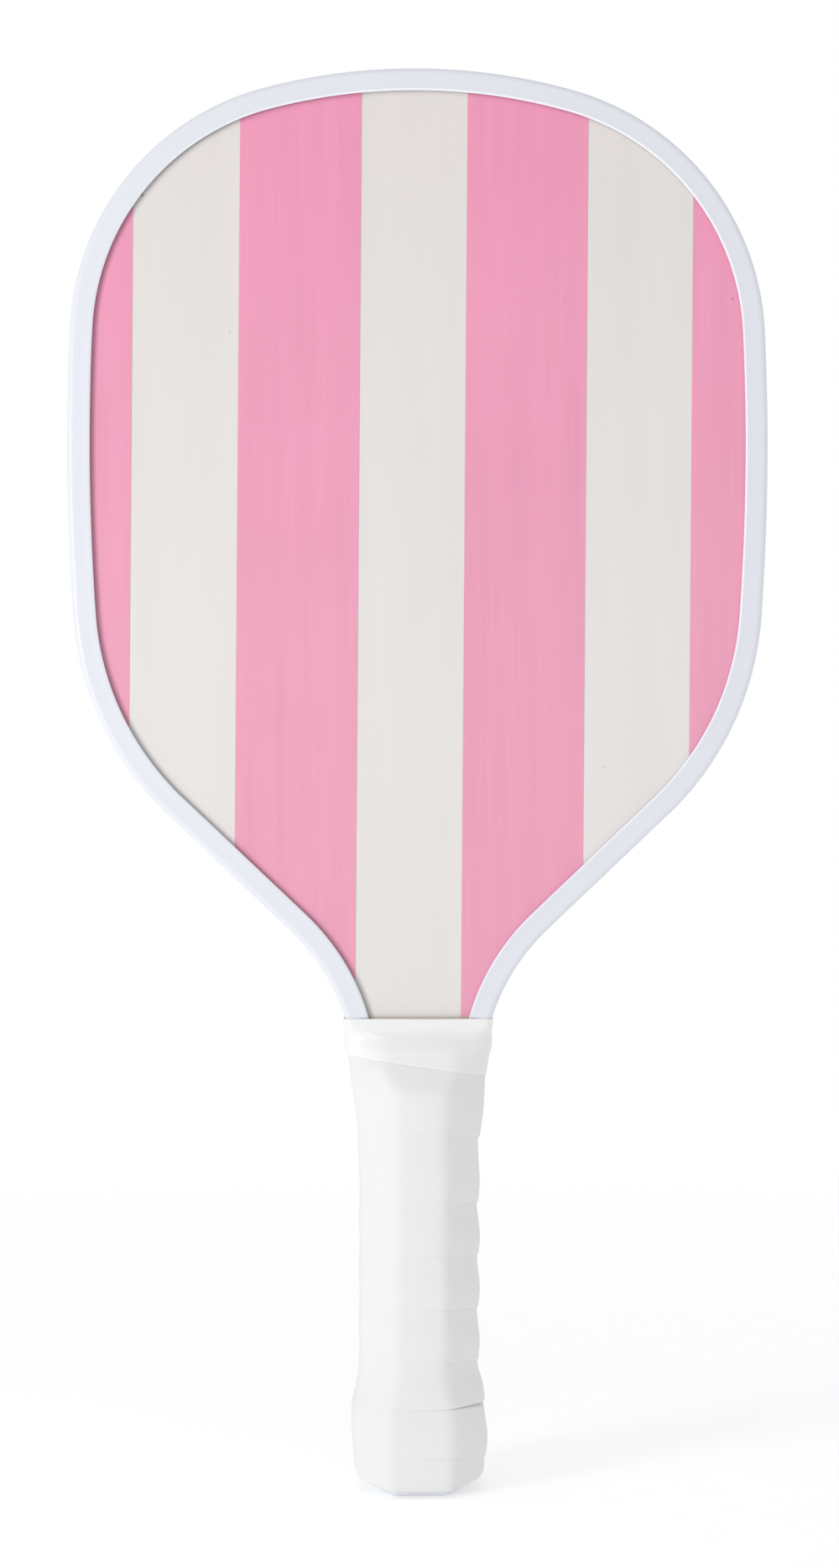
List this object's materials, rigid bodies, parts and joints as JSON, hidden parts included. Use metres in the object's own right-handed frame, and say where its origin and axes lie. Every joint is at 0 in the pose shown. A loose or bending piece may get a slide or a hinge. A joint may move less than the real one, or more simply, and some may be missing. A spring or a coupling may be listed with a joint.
{
  "type": "pickleball paddle",
  "caption": "Short solid paddle with a rounded square head in pink and cream stripes, a white edge guard, and a white wrapped octagonal handle.",
  "frame": {"origin": "centre of the butt cap's bottom face", "axes": "+Z along the handle from butt to head, +Y out of the back face (the front face looks along -Y), +X to the right seen from the front"},
  "size_m": [0.1984, 0.0386, 0.402],
  "materials": {
    "face_veneer": "fine straight-grained veneer, raw at its edges",
    "cross_veneer": "cross-grained veneer",
    "scale_wood": "plain sanded softwood",
    "cream_lacquer": "thin satin lacquer with the grain showing faintly",
    "pink_ink": "satin screen print with the grain showing faintly",
    "guard_plastic": "smooth satin moulding, cool white",
    "clear_adhesive": "soft adhesive tape",
    "cap_plastic": "plain moulded plastic, cool white",
    "steel": "plain wire",
    "strap_leather": "white synthetic leather, matt and faintly grained",
    "white_tape": "white vinyl tape, satin"
  },
  "bodies": {
    "root": {"front_face_ply": "face_veneer", "front_cross_ply": "cross_veneer", "front_inner_ply": "face_veneer", "core_ply": "cross_veneer", "back_inner_ply": "face_veneer", "back_cross_ply": "cross_veneer", "back_face_ply": "face_veneer", "front_coat": "cream_lacquer", "front_stripes": "pink_ink", "back_coat": "cream_lacquer", "back_stripes": "pink_ink", "edge_guard": "guard_plastic", "guard_bond_tape": "clear_adhesive", "front_scale": "scale_wood", "back_scale": "scale_wood", "butt_cap": "cap_plastic", "grip_staple": "steel", "right_cap_nail": "steel", "left_cap_nail": "steel", "grip_wrap": "strap_leather", "finishing_tape": "white_tape"}
  },
  "joints": []
}
